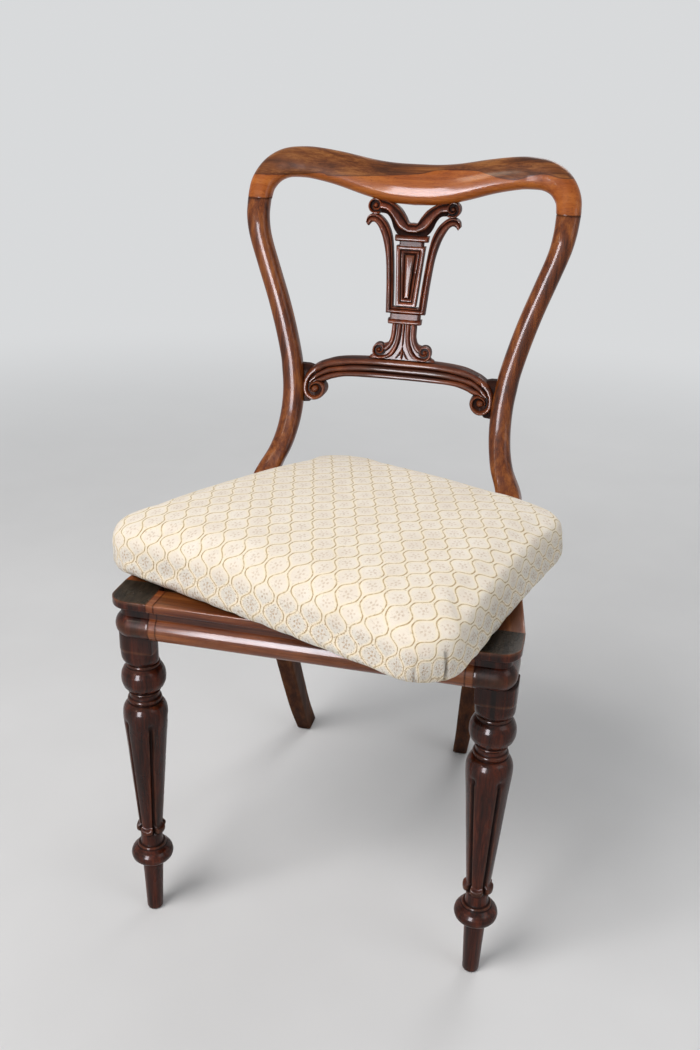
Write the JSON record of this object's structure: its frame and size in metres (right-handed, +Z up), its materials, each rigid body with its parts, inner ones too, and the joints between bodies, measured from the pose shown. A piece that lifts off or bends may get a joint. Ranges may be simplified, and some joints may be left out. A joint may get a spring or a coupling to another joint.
{
  "type": "balloon back dining chair",
  "caption": "Balloon back dining chair with a curved crest rail, carved pierced splat, turned and fluted front legs, sabre back legs and a loose padded seat lying askew.",
  "frame": {"origin": "on the floor, midway across and midway from front to back of the whole chair with its seat lying askew", "axes": "+Z up, the chair's front towards -Y, +X to the right seen from the front; the wooden frame mirrors across X = 0"},
  "size_m": [0.4983, 0.6387, 0.8715],
  "materials": {
    "rosewood": "polished dark rosewood, streaked grain",
    "rail_rosewood": "polished rosewood, warmer brown",
    "sapwood": "polished orange-brown sapwood",
    "beech": "plain sawn beech",
    "steel": "dull steel",
    "webbing": "woven jute",
    "horsehair": "curled hair",
    "damask": "cream woven damask with a gold wavy lattice",
    "black_cloth": "thin black lining cloth"
  },
  "bodies": {
    "chair_frame": {"crest_rail": "rosewood", "left_back_leg": "rosewood", "right_back_leg": "rosewood", "cross_rail": "rosewood", "splat": "rosewood", "front_rail": "rail_rosewood", "left_side_rail": "rail_rosewood", "right_side_rail": "rail_rosewood", "back_rail": "beech", "left_front_leg": "rosewood", "right_front_leg": "rosewood", "left_rail_end_strip": "sapwood", "right_rail_end_strip": "sapwood", "front_left_brace": "beech", "front_right_brace": "beech", "back_left_brace": "beech", "back_right_brace": "beech", "brace_screws": "steel", "crest_dowels": "beech", "cross_rail_dowels": "beech"},
    "loose_seat": {"seat_front_bar": "beech", "seat_back_bar": "beech", "seat_left_bar": "beech", "seat_right_bar": "beech", "seat_bar_dowels": "beech", "seat_cover": "damask", "lengthways_webbing": "webbing", "crossways_webbing": "webbing", "hessian": "webbing", "stuffing": "horsehair", "bottom_cloth": "black_cloth", "cloth_tacks": "steel"}
  },
  "joints": [
    {"name": "seat_lift", "type": "slide", "parent": "chair_frame", "child": "loose_seat", "axis": [0, 0, 1], "range_m": [0, 0.45]}
  ]
}
